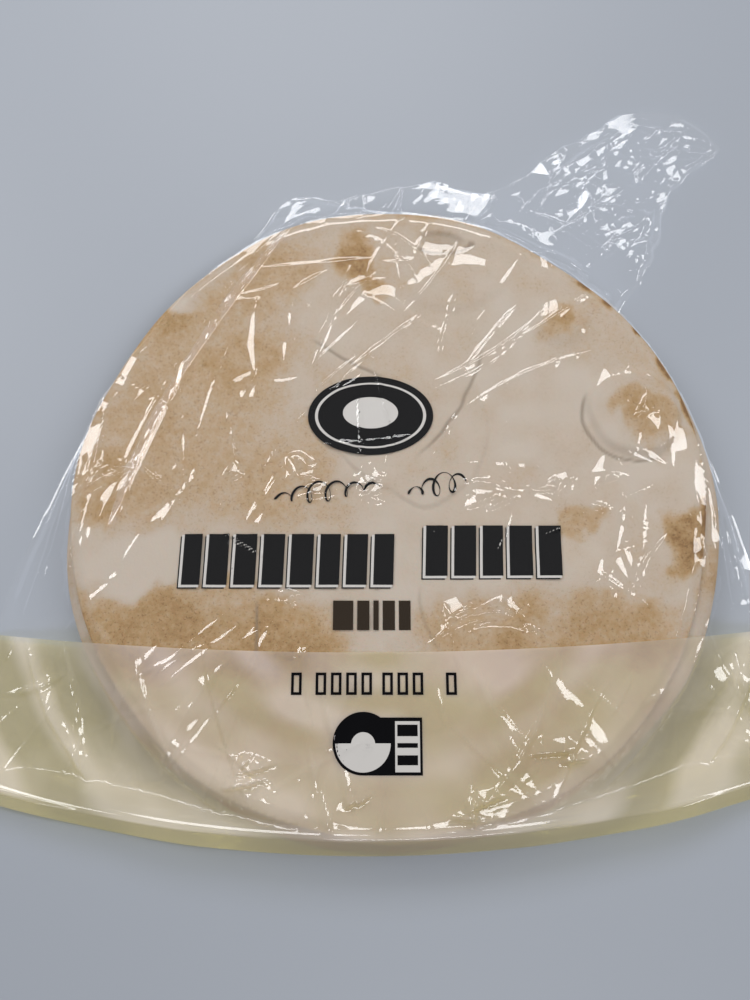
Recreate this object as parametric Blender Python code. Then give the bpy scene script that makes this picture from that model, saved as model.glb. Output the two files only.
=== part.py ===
"""Five round flatbreads sealed in a film bag that lies flat, as one solid.

Z is up and the table is z = 0. The bag's closed front edge faces -Y and its gathered mouth trails off towards +X +Y.
Lengths are millimetres until the mesh is made.
"""

import math

import bpy
import numpy as np

MM = 0.001

# Breads, listed from the top of the stack down
BREAD_THICK = 3.4
BREADS = (  # centre x, centre y, radius
    (0.0, 6.0, 124.8),
    (7.5, 1.5, 122.5),
    (-4.0, 0.0, 122.5),
    (2.5, -0.5, 123.5),
    (0.0, -2.0, 123.5),
)
TOP_FLATS = (  # how the top bread strays from round: angle, amount, half width of the angle
    (math.radians(150.0), -5.5, math.radians(45.0)),
    (math.radians(48.0), -2.0, math.radians(30.0)),
    (math.radians(-42.0), 2.0, math.radians(35.0)),
)
RIM_ROUND = 7.0
RIM_DROP = 1.6
DOME = 1.6

# Bag outline: each side edge as stations (share of the way from the front to the mouth, x, y)
LEFT_EDGE = (
    (0.00, -152.0, -108.0),
    (0.10, -155.0, -70.0),
    (0.17, -153.0, -38.0),
    (0.25, -142.0, -4.0),
    (0.33, -127.0, 34.0),
    (0.43, -94.0, 86.0),
    (0.52, -62.0, 120.0),
    (0.58, -46.0, 146.0),
    (0.65, -14.0, 148.0),
    (0.74, 18.0, 155.0),
    (0.82, 47.0, 150.0),
    (0.90, 76.0, 169.0),
    (1.00, 111.0, 192.0),
)
RIGHT_EDGE = (
    (0.00, 151.0, -104.0),
    (0.10, 153.0, -64.0),
    (0.20, 148.0, -26.0),
    (0.33, 135.0, 26.0),
    (0.45, 117.0, 72.0),
    (0.55, 102.0, 90.0),
    (0.66, 112.0, 105.0),
    (0.76, 123.0, 126.0),
    (0.86, 128.0, 148.0),
    (1.00, 154.0, 172.0),
)
FRONT_BOW = 22.0
FRONT_WALL = 0.017  # share of the way back where the bag's short front wall meets its top
FRONT_WALL_TALL = 17.0
FRONT_WALL_TAPER = 0.62  # lost from that height by the two front corners
MOUTH_BOW = 9.0

# Film
SHEET = 1.5
CLEARANCE = 0.5
SAG = 0.30
SETTLE_ROUNDS = 160
SOFTEN_ROUNDS = 2
EDGE_LIFT = 3.0
LIFT_REACH = 26.0

# Folds: (from x, from y, to x, to y, height, half width)
FOLDS = (
    (-30.0, 130.0, -74.0, 76.0, 1.3, 6.0),
    (-74.0, 76.0, -107.0, -8.0, 1.1, 6.0),
    (-10.0, 116.0, -34.0, 58.0, 0.9, 6.0),
    (4.0, 118.0, 12.0, 66.0, 0.7, 6.0),
    (98.0, 62.0, 30.0, 34.0, 0.7, 6.0),
    (-112.0, -52.0, -60.0, -112.0, 0.9, 7.0),
    (126.0, -40.0, 74.0, -106.0, 0.8, 7.0),
    (88.0, 112.0, 150.0, 174.0, 7.0, 9.0),
    (56.0, 142.0, 116.0, 188.0, 5.0, 8.0),
    (100.0, 168.0, 124.0, 132.0, 4.5, 7.0),
    (-44.0, 128.0, -34.0, 148.0, 3.5, 7.0),
    (2.0, 132.0, 6.0, 154.0, 3.0, 7.0),
    (36.0, 128.0, 48.0, 150.0, 4.0, 7.0),
    (-132.0, -30.0, -150.0, -96.0, 3.0, 8.0),
    (134.0, -24.0, 148.0, -92.0, 3.0, 8.0),
)

# Ripples of the free film, away from the breads
RIPPLE = 1.1
RIPPLE_PITCH = 17.0

COLUMNS = 49
ROWS = 62

FILM_COLOR = (0.80, 0.76, 0.62, 1.0)
FILM_ROUGHNESS = 0.25


def clear_scene():
    for thing in list(bpy.data.objects):
        bpy.data.objects.remove(thing, do_unlink=True)


def smooth(t):
    t = np.clip(t, 0.0, 1.0)
    return t * t * (3.0 - 2.0 * t)


def along_edge(stations, share):
    """Points of a Catmull-Rom curve through the stations, at each share of its length."""
    keys = np.array([s[0] for s in stations])
    points = np.array([s[1:] for s in stations])
    slopes = np.gradient(points, keys, axis=0)
    span = np.clip(np.searchsorted(keys, share, side="right") - 1, 0, len(keys) - 2)
    width = (keys[span + 1] - keys[span])[:, None]
    t = (share - keys[span])[:, None] / width
    start, end = points[span], points[span + 1]
    leave, arrive = slopes[span] * width, slopes[span + 1] * width
    return (
        (2 * t**3 - 3 * t**2 + 1) * start
        + (t**3 - 2 * t**2 + t) * leave
        + (3 * t**2 - 2 * t**3) * end
        + (t**3 - t**2) * arrive
    )


def bag_plan():
    """The film's grid seen from above: rows run from the left edge to the right, the first along the front."""
    across = np.linspace(0.0, 1.0, COLUMNS + 1)
    back = np.append(0.0, np.linspace(FRONT_WALL, 1.0, ROWS))
    left = along_edge(LEFT_EDGE, back)
    right = along_edge(RIGHT_EDGE, back)
    plan = left[:, None] + (right - left)[:, None] * across[None, :, None]
    arch = 4.0 * across * (1.0 - across)
    plan[..., 1] -= FRONT_BOW * arch * ((1.0 - back) ** 6)[:, None]
    mouth_out = np.array([0.45, 0.89]) * MOUTH_BOW
    plan += (arch * (back**8)[:, None])[..., None] * mouth_out
    return plan


def rim_distance(plan, level):
    """How far inside a bread's rim each point is; negative outside."""
    center_x, center_y, radius = BREADS[level]
    offset = plan - np.array([center_x, center_y])
    if level == 0:
        angle = np.arctan2(offset[..., 1], offset[..., 0])
        for middle, amount, half in TOP_FLATS:
            turn = np.abs((angle - middle + math.pi) % (2.0 * math.pi) - math.pi)
            radius = radius + amount * (1.0 - smooth(turn / half))
    return radius - np.hypot(offset[..., 0], offset[..., 1])


def stack_height(plan):
    """Top of the bread stack, zero off it."""
    height = np.zeros(plan.shape[:2])
    for level, (_, _, radius) in enumerate(BREADS):
        top = BREAD_THICK * (len(BREADS) - level)
        inside = rim_distance(plan, level)
        rim = top - RIM_DROP * (1.0 - smooth(inside / RIM_ROUND))
        swell = DOME * smooth(inside / radius) if level == 0 else 0.0
        height = np.maximum(height, np.where(inside > 0.0, rim + swell, 0.0))
    return height


def outside_stack(plan):
    return -np.max([rim_distance(plan, level) for level in range(len(BREADS))], axis=0)


def fold_height(plan):
    """Ridges of folded film, each fading out at its two ends."""
    height = np.zeros(plan.shape[:2])
    for x0, y0, x1, y1, tall, wide in FOLDS:
        run = np.array([x1 - x0, y1 - y0])
        length = np.hypot(*run)
        offset = plan - np.array([x0, y0])
        share = offset @ run / length**2
        aside = np.abs(offset[..., 0] * run[1] - offset[..., 1] * run[0]) / length
        ends = smooth((share + 0.12) / 0.24) * smooth((1.12 - share) / 0.24)
        height += tall * ends * (1.0 - smooth(aside / wide))
    return height


def ripple_height(plan, free):
    x, y = plan[..., 0] / RIPPLE_PITCH, plan[..., 1] / RIPPLE_PITCH
    waves = np.sin(2.1 * x + 1.3 * y) + 0.7 * np.sin(3.7 * y - 1.6 * x + 1.0)
    return RIPPLE * waves * smooth(free / 14.0)


def underside(plan, free):
    """The lower film: flat on the table under the breads, curling up a little towards its free edges."""
    wave = 0.5 + 0.5 * np.sin(plan[..., 0] / 13.0 + plan[..., 1] / 19.0)
    return EDGE_LIFT * wave * smooth((free - 5.0) / LIFT_REACH)


def upper_film(plan, low, free):
    """The upper film settled over the stack and held at the bag's edges."""
    support = np.maximum(stack_height(plan) + CLEARANCE, low + SHEET)
    height = np.where(free > 0.0, low + 2.0 * SHEET, support)
    for _ in range(SETTLE_ROUNDS):
        around = height[:-2, 1:-1] + height[2:, 1:-1] + height[1:-1, :-2] + height[1:-1, 2:]
        height[1:-1, 1:-1] = np.maximum(support[1:-1, 1:-1], around / 4.0 - SAG)
    height += fold_height(plan) + ripple_height(plan, free)
    for _ in range(SOFTEN_ROUNDS):
        around = height[:-2, 1:-1] + height[2:, 1:-1] + height[1:-1, :-2] + height[1:-1, 2:]
        height[1:-1, 1:-1] = (height[1:-1, 1:-1] + around / 4.0) / 2.0
    wall = front_wall_height(plan[1])
    height[1] = np.maximum(height[1], wall)
    height[2] = np.maximum(height[2], wall)
    thin = low + SHEET
    height[0], height[-1] = thin[0], thin[-1]
    height[:, 0], height[:, -1] = thin[:, 0], thin[:, -1]
    return np.maximum(height, thin)


def front_wall_height(row):
    """Height of the fold that runs along the top of the bag's front wall."""
    half = abs(LEFT_EDGE[0][1])
    return FRONT_WALL_TALL * (1.0 - FRONT_WALL_TAPER * (row[:, 0] / half) ** 2)


def grid_faces(first, flip):
    faces = []
    for row in range(ROWS):
        for column in range(COLUMNS):
            a = first + row * (COLUMNS + 1) + column
            quad = (a, a + 1, a + COLUMNS + 2, a + COLUMNS + 1)
            faces.append(quad[::-1] if flip else quad)
    return faces


def border_loop():
    """Grid indices right round the border, anticlockwise from above."""
    stride = COLUMNS + 1
    front = list(range(COLUMNS))
    right = [row * stride + COLUMNS for row in range(ROWS)]
    back = [ROWS * stride + column for column in range(COLUMNS, 0, -1)]
    left = [row * stride for row in range(ROWS, 0, -1)]
    return front + right + back + left


def build_bag():
    plan = bag_plan()
    free = outside_stack(plan)
    low = underside(plan, free)
    high = upper_film(plan, low, free)
    upper = np.dstack([plan, high]).reshape(-1, 3)
    lower = np.dstack([plan, low]).reshape(-1, 3)
    count = len(upper)
    faces = grid_faces(0, flip=False) + grid_faces(count, flip=True)
    loop = border_loop()
    for here, after in zip(loop, loop[1:] + loop[:1]):
        faces.append((here + count, after + count, after, here))
    mesh = bpy.data.meshes.new("bag")
    mesh.from_pydata((np.vstack([upper, lower]) * MM).tolist(), [], faces)
    mesh.update()
    bag = bpy.data.objects.new("bag", mesh)
    bpy.context.scene.collection.objects.link(bag)
    return bag


def film_material():
    material = bpy.data.materials.new("film")
    material.use_nodes = True
    shader = material.node_tree.nodes["Principled BSDF"]
    shader.inputs["Base Color"].default_value = FILM_COLOR
    shader.inputs["Roughness"].default_value = FILM_ROUGHNESS
    return material


clear_scene()
build_bag().data.materials.append(film_material())
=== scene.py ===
"""Looks for the bagged flatbread pack: five breads, the film around them and the print on its front.

Lengths are millimetres in the bag's own layout, turned to metres by UNIT, which comes from the CAD box.
"""

import math

import bpy
import numpy as np
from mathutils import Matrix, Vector
from mathutils.bvhtree import BVHTree


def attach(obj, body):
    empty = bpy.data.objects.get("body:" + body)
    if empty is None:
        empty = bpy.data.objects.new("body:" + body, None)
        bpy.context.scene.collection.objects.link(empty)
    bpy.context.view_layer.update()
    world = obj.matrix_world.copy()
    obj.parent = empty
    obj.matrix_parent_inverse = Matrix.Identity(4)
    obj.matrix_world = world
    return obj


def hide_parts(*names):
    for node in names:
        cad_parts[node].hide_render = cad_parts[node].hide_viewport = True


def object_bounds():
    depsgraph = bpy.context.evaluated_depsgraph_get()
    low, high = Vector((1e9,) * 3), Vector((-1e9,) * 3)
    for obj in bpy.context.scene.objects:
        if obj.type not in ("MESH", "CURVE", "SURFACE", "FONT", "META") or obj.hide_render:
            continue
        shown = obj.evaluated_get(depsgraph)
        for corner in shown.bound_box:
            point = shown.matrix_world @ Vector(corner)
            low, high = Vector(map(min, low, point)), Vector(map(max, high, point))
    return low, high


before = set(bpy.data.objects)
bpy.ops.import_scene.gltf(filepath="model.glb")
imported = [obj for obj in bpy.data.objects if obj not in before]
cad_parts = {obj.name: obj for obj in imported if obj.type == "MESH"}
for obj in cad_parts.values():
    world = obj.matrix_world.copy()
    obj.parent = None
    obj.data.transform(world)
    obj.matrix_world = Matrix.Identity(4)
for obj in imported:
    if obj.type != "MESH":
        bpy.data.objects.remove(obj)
cad_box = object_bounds()

BAG_WIDTH = 309.0
UNIT = (cad_box[1].x - cad_box[0].x) / BAG_WIDTH

# Breads, listed from the top of the stack down
BREAD_THICK = 3.3
BREAD_LIFT = 0.5
TOP_MESH = (150, 540)  # rings and segments
LOWER_MESH = (24, 300)
BREADS = (  # centre x, centre y, radius
    (0.0, 6.0, 124.8),
    (7.5, 1.5, 122.5),
    (-4.0, 0.0, 122.5),
    (2.5, -0.5, 123.5),
    (0.0, -2.0, 123.5),
)
TOP_FLATS = (  # how the top bread strays from round: angle, amount, half width of the angle
    (math.radians(150.0), -5.5, math.radians(45.0)),
    (math.radians(48.0), -2.0, math.radians(30.0)),
    (math.radians(-42.0), 2.0, math.radians(35.0)),
)
RIM_ROUND = 5.0
RIM_DROP = 1.3

# Bag outline: each side edge as stations (share of the way from the front to the mouth, x, y)
LEFT_EDGE = (
    (0.00, -152.0, -108.0),
    (0.10, -155.0, -70.0),
    (0.17, -153.0, -38.0),
    (0.25, -142.0, -4.0),
    (0.33, -127.0, 34.0),
    (0.43, -94.0, 86.0),
    (0.52, -62.0, 120.0),
    (0.58, -46.0, 146.0),
    (0.65, -14.0, 148.0),
    (0.74, 18.0, 155.0),
    (0.82, 47.0, 150.0),
    (0.90, 76.0, 169.0),
    (1.00, 111.0, 192.0),
)
RIGHT_EDGE = (
    (0.00, 151.0, -104.0),
    (0.10, 153.0, -64.0),
    (0.20, 148.0, -26.0),
    (0.33, 135.0, 26.0),
    (0.45, 117.0, 72.0),
    (0.55, 102.0, 90.0),
    (0.66, 112.0, 105.0),
    (0.76, 123.0, 126.0),
    (0.86, 128.0, 148.0),
    (1.00, 154.0, 172.0),
)
FRONT_BOW = 22.0
FRONT_WALL = 0.017  # share of the way back where the bag's short front wall meets its top
FRONT_WALL_TALL = 17.8
FRONT_WALL_TAPER = 0.62  # lost from that height by the two front corners
MOUTH_BOW = 9.0
BAND_TOP = 0.150  # share of the way back where the printed band ends

# Flap of film folded over itself on the left of the breads: points along its middle, and its width
PLEAT = ((-42.0, 122.0), (-70.0, 80.0), (-93.0, 36.0), (-107.0, -6.0))
PLEAT_WIDTH = 5.0

# Film grid: columns run across the bag, rows from the front edge to the mouth
COLUMNS = 384
ROWS = 528
WALL_ROWS = 12  # those of them on the front wall
WALL_FADE_ROWS = 18.0  # and behind it, the rows where its height fades into the film's
PINNED_CELLS = 9.0  # from the bag's edge to where the two sheets part fully
UNDER_STEP = 4  # the lower sheet keeps one cell in this many

# How the film settles over the breads
FILM_GAP = 0.35
SHEET_GAP = 0.5
LOOSE_GAP = 2.0
COARSE = 8  # it settles first on a grid this many times coarser
COARSE_ROUNDS = 260
FINE_ROUNDS = 60
SAG = 0.02 / 6.0
PRESS = 0.08  # how far creases may press it back towards the breads

# Square of film, each side of the middle, that facets are laid over, and the size of its cells
FACET_REACH = 260.0
FACET_STEP = 0.5

SHEEN = 0.066  # what the film mirrors straight on
FOLD_HAZE = 0.16  # how much the folds change how solid tinted film is
FOLD_PAINTED_SHADE = 0.15  # and how far its tint is painted lighter in some bands and darker in others, as painted light and shade

# Print lies just inside the film: ink deepest, pale print over it, ink over that
INK_DEPTH = -0.20
PALE_DEPTH = -0.14
TOP_INK_DEPTH = -0.08
BAND_PRINT_LIFT = 0.10  # on the band the print lies on top
BAND_PRINT_STEP = 0.06  # from one layer of that print to the next
PRINT_CELLS = 1.3  # to the millimetre


def smooth(t):
    t = np.clip(t, 0.0, 1.0)
    return t * t * (3.0 - 2.0 * t)


def value_noise(x, y, pitch, seed):
    """Smooth random relief from -1 to 1, with one value every pitch millimetres."""
    table = np.random.default_rng(seed).uniform(-1.0, 1.0, (64, 64))
    u, v = x / pitch + 900.0, y / pitch + 900.0
    i, j = np.floor(u).astype(int), np.floor(v).astype(int)
    fu, fv = smooth(u - i), smooth(v - j)
    i0, i1, j0, j1 = i % 64, (i + 1) % 64, j % 64, (j + 1) % 64
    low = table[i0, j0] * (1 - fu) + table[i1, j0] * fu
    high = table[i0, j1] * (1 - fu) + table[i1, j1] * fu
    return low * (1 - fv) + high * fv


# ---------------------------------------------------------------- breads


def bread_rim(angle, level):
    wobble = 0.7 * np.sin(3.0 * angle + 1.7 * level) + 0.5 * np.sin(5.0 * angle - 2.1 * level)
    wobble += 0.35 * np.sin(11.0 * angle + level)
    if level == 0:
        for middle, amount, half in TOP_FLATS:
            turn = np.abs((angle - middle + math.pi) % (2.0 * math.pi) - math.pi)
            wobble = wobble + amount * (1.0 - smooth(turn / half))
    return BREADS[level][2] + wobble


def bread_top(level):
    return BREAD_LIFT + BREAD_THICK * (len(BREADS) - level)


def spot(x, y, centre, radii, turn=0.0):
    """Distance from a blob's centre, 1 at its edge."""
    c, s = math.cos(turn), math.sin(turn)
    dx, dy = x - centre[0], y - centre[1]
    return np.hypot((dx * c + dy * s) / radii[0], (dy * c - dx * s) / radii[1])


# Blisters of the top bread: (centre, radii, turn, height, edge share)
BLISTERS = (
    ((99.0, 40.0), (19.5, 20.0), 0.0, 2.4, 0.20),
    ((72.0, 79.0), (15.0, 12.0), 0.5, 1.2, 0.60),
    ((4.0, 46.0), (34.0, 46.0), 0.4, 0.9, 0.06),
    ((-70.0, 20.0), (42.0, 60.0), 0.2, 0.7, 0.70),
    ((60.0, -30.0), (34.0, 18.0), 0.1, 0.7, 0.55),
    ((-40.0, -60.0), (42.0, 20.0), 0.2, 0.9, 0.40),
    ((40.0, -80.0), (34.0, 22.0), -0.3, 0.8, 0.50),
    ((30.0, 96.0), (26.0, 13.0), 0.2, 0.8, 0.35),
)

# Where the top bread has lost a flake: centre, radii, turn
HOLLOW = ((24.0, 116.5), (11.0, 5.0), -0.15)

# Edges where a layer of the bread's skin ends, grooved and darkened with painted shadow: round ones as (centre,
# radii, from angle, to angle, depth), the arc between the angles being the shaded side, and others as (start, end,
# bow to one side, depth)
ROUND_SEAMS = (
    ((99.0, 40.0), (20.5, 20.0), 150.0, 305.0, 0.85),
    ((24.0, 116.5), (12.0, 5.6), 205.0, 365.0, 1.0),
)
LONG_SEAMS = (
    ((-32.0, 73.0), (0.0, 54.0), 1.0, 0.75),
    ((40.0, 74.0), (10.0, 20.0), -6.0, 0.75),
    ((-49.0, -34.0), (-48.5, -58.0), 0.5, 0.8),
    ((12.0, -28.0), (22.0, -56.0), 3.0, 0.35),
)
SEAM_HALF = 1.15


def seam_depth_and_shadow(x, y):
    """How deep the bread is marked along its skin edges, from 0 to 1: this sets both their groove and their painted
    shadow.
    """
    wander = 0.5 * value_noise(x, y, 6.0, 12)
    depth = np.zeros_like(x)
    for centre, radii, first, last, deep in ROUND_SEAMS:
        angle = np.degrees(np.arctan2((y - centre[1]) / radii[1], (x - centre[0]) / radii[0]))
        turn = np.abs((angle - (first + last) / 2.0 + 180.0) % 360.0 - 180.0)
        away = (spot(x, y, centre, radii) - 1.0) * min(radii) + wander
        line = (1.0 - smooth(np.abs(away) / SEAM_HALF)) * smooth(((last - first) / 2.0 - turn) / 20.0)
        depth = np.maximum(depth, deep * line)
    for start, end, bow, deep in LONG_SEAMS:
        along, aside = beside_line(x, y, start, end, bow)
        ends = smooth((along + 0.02) / 0.25) * smooth((1.02 - along) / 0.25)
        depth = np.maximum(depth, deep * ends * (1.0 - smooth(np.abs(aside + wander) / SEAM_HALF)))
    return depth


def beside_line(x, y, start, end, bow):
    """Share of the way along a bowed line, and the distance to one side of it."""
    run = (end[0] - start[0], end[1] - start[1])
    length = math.hypot(*run)
    along = ((x - start[0]) * run[0] + (y - start[1]) * run[1]) / length**2
    aside = ((x - start[0]) * run[1] - (y - start[1]) * run[0]) / length
    return along, aside - bow * 4.0 * along * (1.0 - along)


def top_relief(x, y):
    """Bumps and hollows of the top bread's upper face."""
    relief = 0.55 * value_noise(x, y, 34.0, 5) + 0.22 * value_noise(x, y, 13.0, 6)
    relief += 0.06 * value_noise(x, y, 4.5, 7) + 0.03 * value_noise(x, y, 2.0, 8)
    bend = 0.10 * value_noise(x, y, 16.0, 9)
    for centre, radii, turn, tall, edge in BLISTERS:
        inside = 1.0 - spot(x, y, centre, radii, turn) + bend
        relief = relief + tall * smooth(inside / edge) * (0.75 + 0.25 * smooth(inside))
    hollow = 1.0 - spot(x, y, *HOLLOW) + 2.0 * bend
    return relief - 1.4 * smooth(hollow / 0.35) - 0.4 * seam_depth_and_shadow(x, y)


def plain_relief(x, y, level):
    relief = 0.5 * value_noise(x, y, 30.0, 20 + level) + 0.25 * value_noise(x, y, 11.0, 30 + level)
    return relief + 0.06 * value_noise(x, y, 4.0, 40 + level)


# Toasted areas of the top bread: (centre, radii, turn, strength), and pale ones: (centre, radii, turn)
TOASTED = (
    ((-78.0, 52.0), (60.0, 46.0), 0.9, 0.40),
    ((-60.0, 62.0), (22.0, 20.0), 0.9, 0.52),
    ((-82.0, 20.0), (42.0, 34.0), 0.2, 0.41),
    ((-110.0, 14.0), (16.0, 26.0), 0.1, 0.50),
    ((-44.0, 14.0), (34.0, 30.0), 0.2, 0.36),
    ((-88.0, 78.0), (16.0, 10.0), 0.9, 0.52),
    ((-58.0, 94.0), (44.0, 20.0), 0.7, 0.40),
    ((-14.0, 109.0), (13.0, 14.0), 0.0, 0.78),
    ((-6.0, 98.0), (12.0, 7.0), -0.5, 0.56),
    ((-40.0, 104.0), (14.0, 10.0), 0.0, 0.42),
    ((70.0, 78.0), (17.0, 10.0), 0.6, 0.42),
    ((76.0, 82.0), (8.0, 5.0), 0.7, 0.54),
    ((98.0, 45.0), (12.0, 9.0), 0.2, 0.46),
    ((106.0, 36.0), (13.0, 12.0), -0.6, 0.52),
    ((114.0, -12.0), (11.0, 15.0), 0.1, 0.80),
    ((74.0, -6.0), (10.0, 9.0), 0.3, 0.48),
    ((-88.0, -46.0), (48.0, 20.0), 0.05, 0.64),
    ((-42.0, -48.0), (34.0, 19.0), 0.0, 0.60),
    ((-58.0, -32.0), (14.0, 8.0), 0.2, 0.46),
    ((40.0, -49.0), (38.0, 22.0), 0.05, 0.50),
    ((44.0, -46.0), (13.0, 9.0), 0.05, 0.72),
    ((84.0, -46.0), (32.0, 20.0), 0.05, 0.56),
    ((-30.0, -88.0), (44.0, 16.0), 0.1, 0.26),
    ((50.0, -88.0), (34.0, 14.0), 0.0, 0.26),
)
PALE = (
    ((-92.0, -19.0), (24.0, 12.0), 0.15),
    ((-92.0, 92.0), (12.0, 10.0), 0.6),
)


def top_toast(x, y):
    """How toasted the top bread is, from 0 to 1."""
    wx = x + 6.0 * value_noise(x, y, 14.0, 50) + 2.2 * value_noise(x, y, 4.0, 54)
    wy = y + 6.0 * value_noise(x, y, 14.0, 51) + 2.2 * value_noise(x, y, 4.0, 55)
    toast = 0.13 + 0.14 * value_noise(x, y, 26.0, 52) + 0.09 * value_noise(x, y, 8.0, 57)
    for centre, radii, turn, strength in TOASTED:
        toast = np.maximum(toast, strength * (1.0 - smooth((spot(wx, wy, centre, radii, turn) - 0.40) / 0.85)))
    for centre, radii, turn in PALE:
        toast = toast * smooth((spot(wx, wy, centre, radii, turn) - 0.65) / 0.5)
    toast = toast * (1.0 + 0.22 * value_noise(x, y, 9.0, 56) + 0.16 * value_noise(x, y, 3.2, 58))
    angle = np.arctan2(y - BREADS[0][1], x - BREADS[0][0])
    rim = 1.0 - smooth(rim_inside(x, y, 0) / 3.2)
    side = smooth((np.cos(angle - math.radians(22.0)) - 0.80) / 0.15)
    patchy = smooth(2.0 * value_noise(x, y, 4.0, 53))
    toast = toast + rim * (0.12 + 1.0 * side * patchy)
    return np.clip(toast, 0.0, 1.2)


def plain_toast(x, y, level):
    toast = 0.45 * smooth(value_noise(x, y, 26.0, 60 + level)) + 0.2 * value_noise(x, y, 9.0, 70 + level)
    rim = 1.0 - smooth(rim_inside(x, y, level) / 9.0)
    return np.clip(0.06 + 0.6 * toast + 0.16 * rim, 0.0, 1.2)


def bread_piece(name, level, rings, segments, relief, toast, material):
    """A round flat bread: its upper face, a rounded rim and a flatter underside."""
    cx, cy, radius = BREADS[level]
    angle = np.linspace(0.0, 2.0 * math.pi, segments, endpoint=False)
    rim = bread_rim(angle, level)
    shares = np.linspace(0.0, 1.0, rings + 1)[1:]
    top, thick = bread_top(level), BREAD_THICK - 0.15
    rows = []
    for share in shares:
        x, y = rim * share * np.cos(angle), rim * share * np.sin(angle)
        inside = rim * (1.0 - share)
        drop = RIM_DROP * (1.0 - smooth(inside / RIM_ROUND))
        fade = 0.25 + 0.75 * smooth(inside / 9.0)
        rows.append((x, y, top - drop + (relief(x + cx, y + cy) - 0.5) * fade))
    edge_top, low = rows[-1][2], top - thick
    for out, down in ((0.35, 0.3), (0.45, 0.62), (0.1, 0.9)):
        reach = 1.0 + out / radius
        z = edge_top + (low - edge_top) * down
        rows.append((rim * reach * np.cos(angle), rim * reach * np.sin(angle), z))
    for share in (0.985, 0.9, 0.5):
        x, y = rim * share * np.cos(angle), rim * share * np.sin(angle)
        rows.append((x, y, np.full_like(x, low)))
    verts = [(0.0, 0.0, top + float(relief(np.array(cx), np.array(cy))) - 0.5)]
    verts += [p for x, y, z in rows for p in zip(x, y, z)]
    verts.append((0.0, 0.0, low))
    faces = []
    for k in range(segments):
        after = (k + 1) % segments
        faces.append((0, 1 + k, 1 + after))
        for row in range(len(rows) - 1):
            a, b = 1 + row * segments, 1 + (row + 1) * segments
            faces.append((a + k, b + k, b + after, a + after))
        last = 1 + (len(rows) - 1) * segments
        faces.append((len(verts) - 1, last + after, last + k))
    points = np.array(verts) + np.array([cx, cy, 0.0])
    piece = add_mesh(name, points, faces, material)
    x, y = points[:, 0], points[:, 1]
    seam_shadows = np.zeros_like(x)
    if level == 0:
        # Painted shade in the hollow and painted shadow along the skin edges, on the upper face only
        hollow = 0.30 * smooth((1.0 - spot(x, y, *HOLLOW)) / 0.5)
        seam_shadows = np.maximum(seam_depth_and_shadow(x, y), hollow) * (points[:, 2] > top - 2.0 * RIM_DROP)
    add_layer(piece, "toast", toast(x, y))
    add_layer(piece, "seam_shadow", seam_shadows)
    return piece


# ---------------------------------------------------------------- film layout


def along_edge(stations, share):
    """Points of a Catmull-Rom curve through the stations, at each share of its length."""
    keys = np.array([s[0] for s in stations])
    points = np.array([s[1:] for s in stations])
    slopes = np.gradient(points, keys, axis=0)
    span = np.clip(np.searchsorted(keys, share, side="right") - 1, 0, len(keys) - 2)
    width = (keys[span + 1] - keys[span])[:, None]
    t = (share - keys[span])[:, None] / width
    start, end = points[span], points[span + 1]
    leave, arrive = slopes[span] * width, slopes[span + 1] * width
    return (
        (2 * t**3 - 3 * t**2 + 1) * start
        + (t**3 - 2 * t**2 + t) * leave
        + (3 * t**2 - 2 * t**3) * end
        + (t**3 - t**2) * arrive
    )


def row_shares():
    wall = np.linspace(0.0, FRONT_WALL, WALL_ROWS, endpoint=False)
    return np.append(wall, np.linspace(FRONT_WALL, 1.0, ROWS + 1 - WALL_ROWS))


def bag_plan():
    """The film's grid seen from above, with small crinkles along the free edges."""
    across = np.linspace(0.0, 1.0, COLUMNS + 1)
    back = row_shares()
    left, right = along_edge(LEFT_EDGE, back), along_edge(RIGHT_EDGE, back)
    jag = smooth((back - 0.30) / 0.25)
    left += 1.6 * jag[:, None] * np.dstack(
        [value_noise(left[:, 0], left[:, 1], 7.0, 80), value_noise(left[:, 0], left[:, 1], 7.0, 81)]
    )[0]
    right += 1.2 * jag[:, None] * np.dstack(
        [value_noise(right[:, 0], right[:, 1], 6.0, 82), value_noise(right[:, 0], right[:, 1], 6.0, 83)]
    )[0]
    plan = left[:, None] + (right - left)[:, None] * across[None, :, None]
    arch = 4.0 * across * (1.0 - across)
    plan[..., 1] -= FRONT_BOW * arch * ((1.0 - back) ** 6)[:, None]
    mouth_out = np.array([0.45, 0.89]) * MOUTH_BOW
    plan += (arch * (back**8)[:, None])[..., None] * mouth_out
    return plan


def rim_inside(x, y, level):
    cx, cy, _ = BREADS[level]
    angle = np.arctan2(y - cy, x - cx)
    return bread_rim(angle, level) - np.hypot(x - cx, y - cy)


def stack_surface(x, y):
    """Top of the breads, zero off them."""
    height = np.zeros_like(x)
    for level in range(len(BREADS)):
        inside = rim_inside(x, y, level)
        relief = top_relief(x, y) if level == 0 else plain_relief(x, y, level)
        fade = 0.25 + 0.75 * smooth(inside / 9.0)
        top = bread_top(level) - RIM_DROP * (1.0 - smooth(inside / RIM_ROUND)) + (relief - 0.5) * fade
        height = np.maximum(height, np.where(inside > -0.5, top, 0.0))
    return height


def beyond_stack(x, y):
    return -np.max([rim_inside(x, y, level) for level in range(len(BREADS))], axis=0)


def average_round(height):
    return (height[:-2, 1:-1] + height[2:, 1:-1] + height[1:-1, :-2] + height[1:-1, 2:]) / 4.0


def settle(height, support, rounds, sag):
    for _ in range(rounds):
        height[1:-1, 1:-1] = np.maximum(support[1:-1, 1:-1], average_round(height) - sag)
    return height


def enlarge(coarse, rows, columns):
    """A coarse grid of heights resampled to rows by columns."""
    r = np.linspace(0.0, coarse.shape[0] - 1.0, rows)
    c = np.linspace(0.0, coarse.shape[1] - 1.0, columns)
    wide = np.array([np.interp(c, np.arange(coarse.shape[1]), line) for line in coarse])
    return np.array([np.interp(r, np.arange(coarse.shape[0]), line) for line in wide.T]).T


# ---------------------------------------------------------------- creases


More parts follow.
